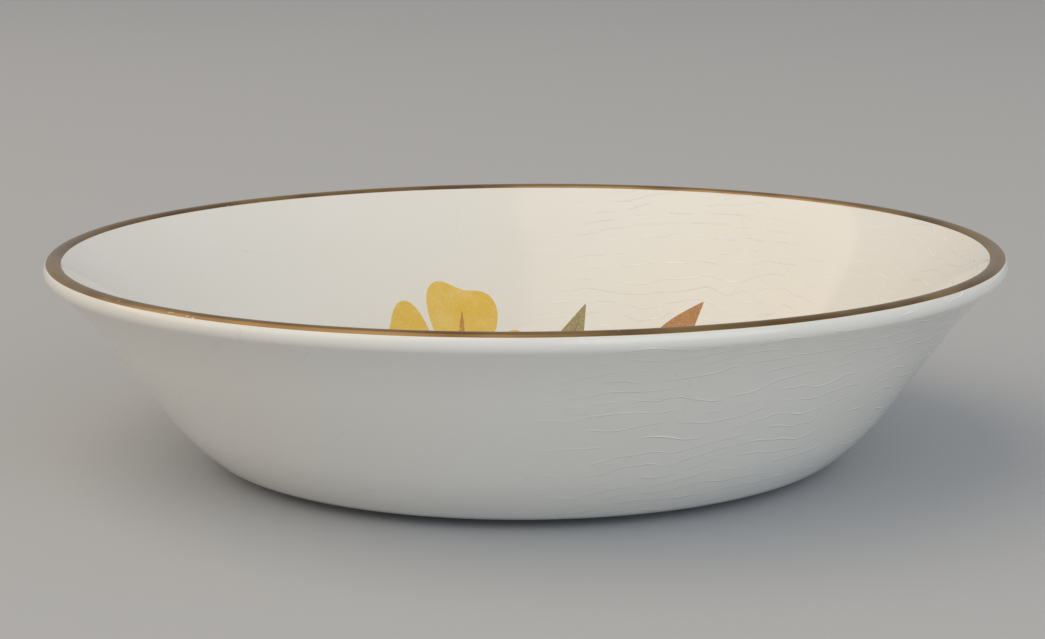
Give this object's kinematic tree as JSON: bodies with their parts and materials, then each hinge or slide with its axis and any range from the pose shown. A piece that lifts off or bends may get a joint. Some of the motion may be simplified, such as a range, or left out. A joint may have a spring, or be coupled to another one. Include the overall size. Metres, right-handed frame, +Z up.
{
  "type": "ring dish",
  "caption": "Small round glazed china ring dish: flat floor, sloping wall with a flared lip, fired gold line on the lip, printed flower spray in the well, low foot ring.",
  "frame": {"origin": "centre of the circle on which the foot ring rests, at table height", "axes": "+Z up along the axis of the dish, +Y towards the far side of the printed spray, +X to the right of the spray seen from its foot"},
  "size_m": [0.105, 0.105, 0.0232],
  "materials": {
    "china": "unglazed fired china, matte, a little stained",
    "ivory_glaze": "glossy ivory-white glaze with fine crazing",
    "fired_gold": "fired bright gold, slightly worn, dark in shade",
    "yellow_colour": "glossy on-glaze colour",
    "ochre_colour": "glossy on-glaze colour",
    "brown_colour": "glossy on-glaze colour",
    "sienna_colour": "glossy on-glaze colour",
    "tan_green_colour": "glossy on-glaze colour",
    "russet_colour": "glossy on-glaze colour",
    "umber_colour": "glossy on-glaze colour",
    "stem_colour": "glossy on-glaze colour"
  },
  "bodies": {
    "root": {"china_body": "china", "bowl_glaze": "ivory_glaze", "base_glaze": "ivory_glaze", "gold_lip_line": "fired_gold", "print_petals": "yellow_colour", "print_petal_shading": "ochre_colour", "print_flower_eyes": "brown_colour", "print_stamens": "sienna_colour", "print_leaves": "tan_green_colour", "print_russet_leaves": "russet_colour", "print_leaf_veins": "umber_colour", "print_stems": "stem_colour"}
  },
  "joints": []
}
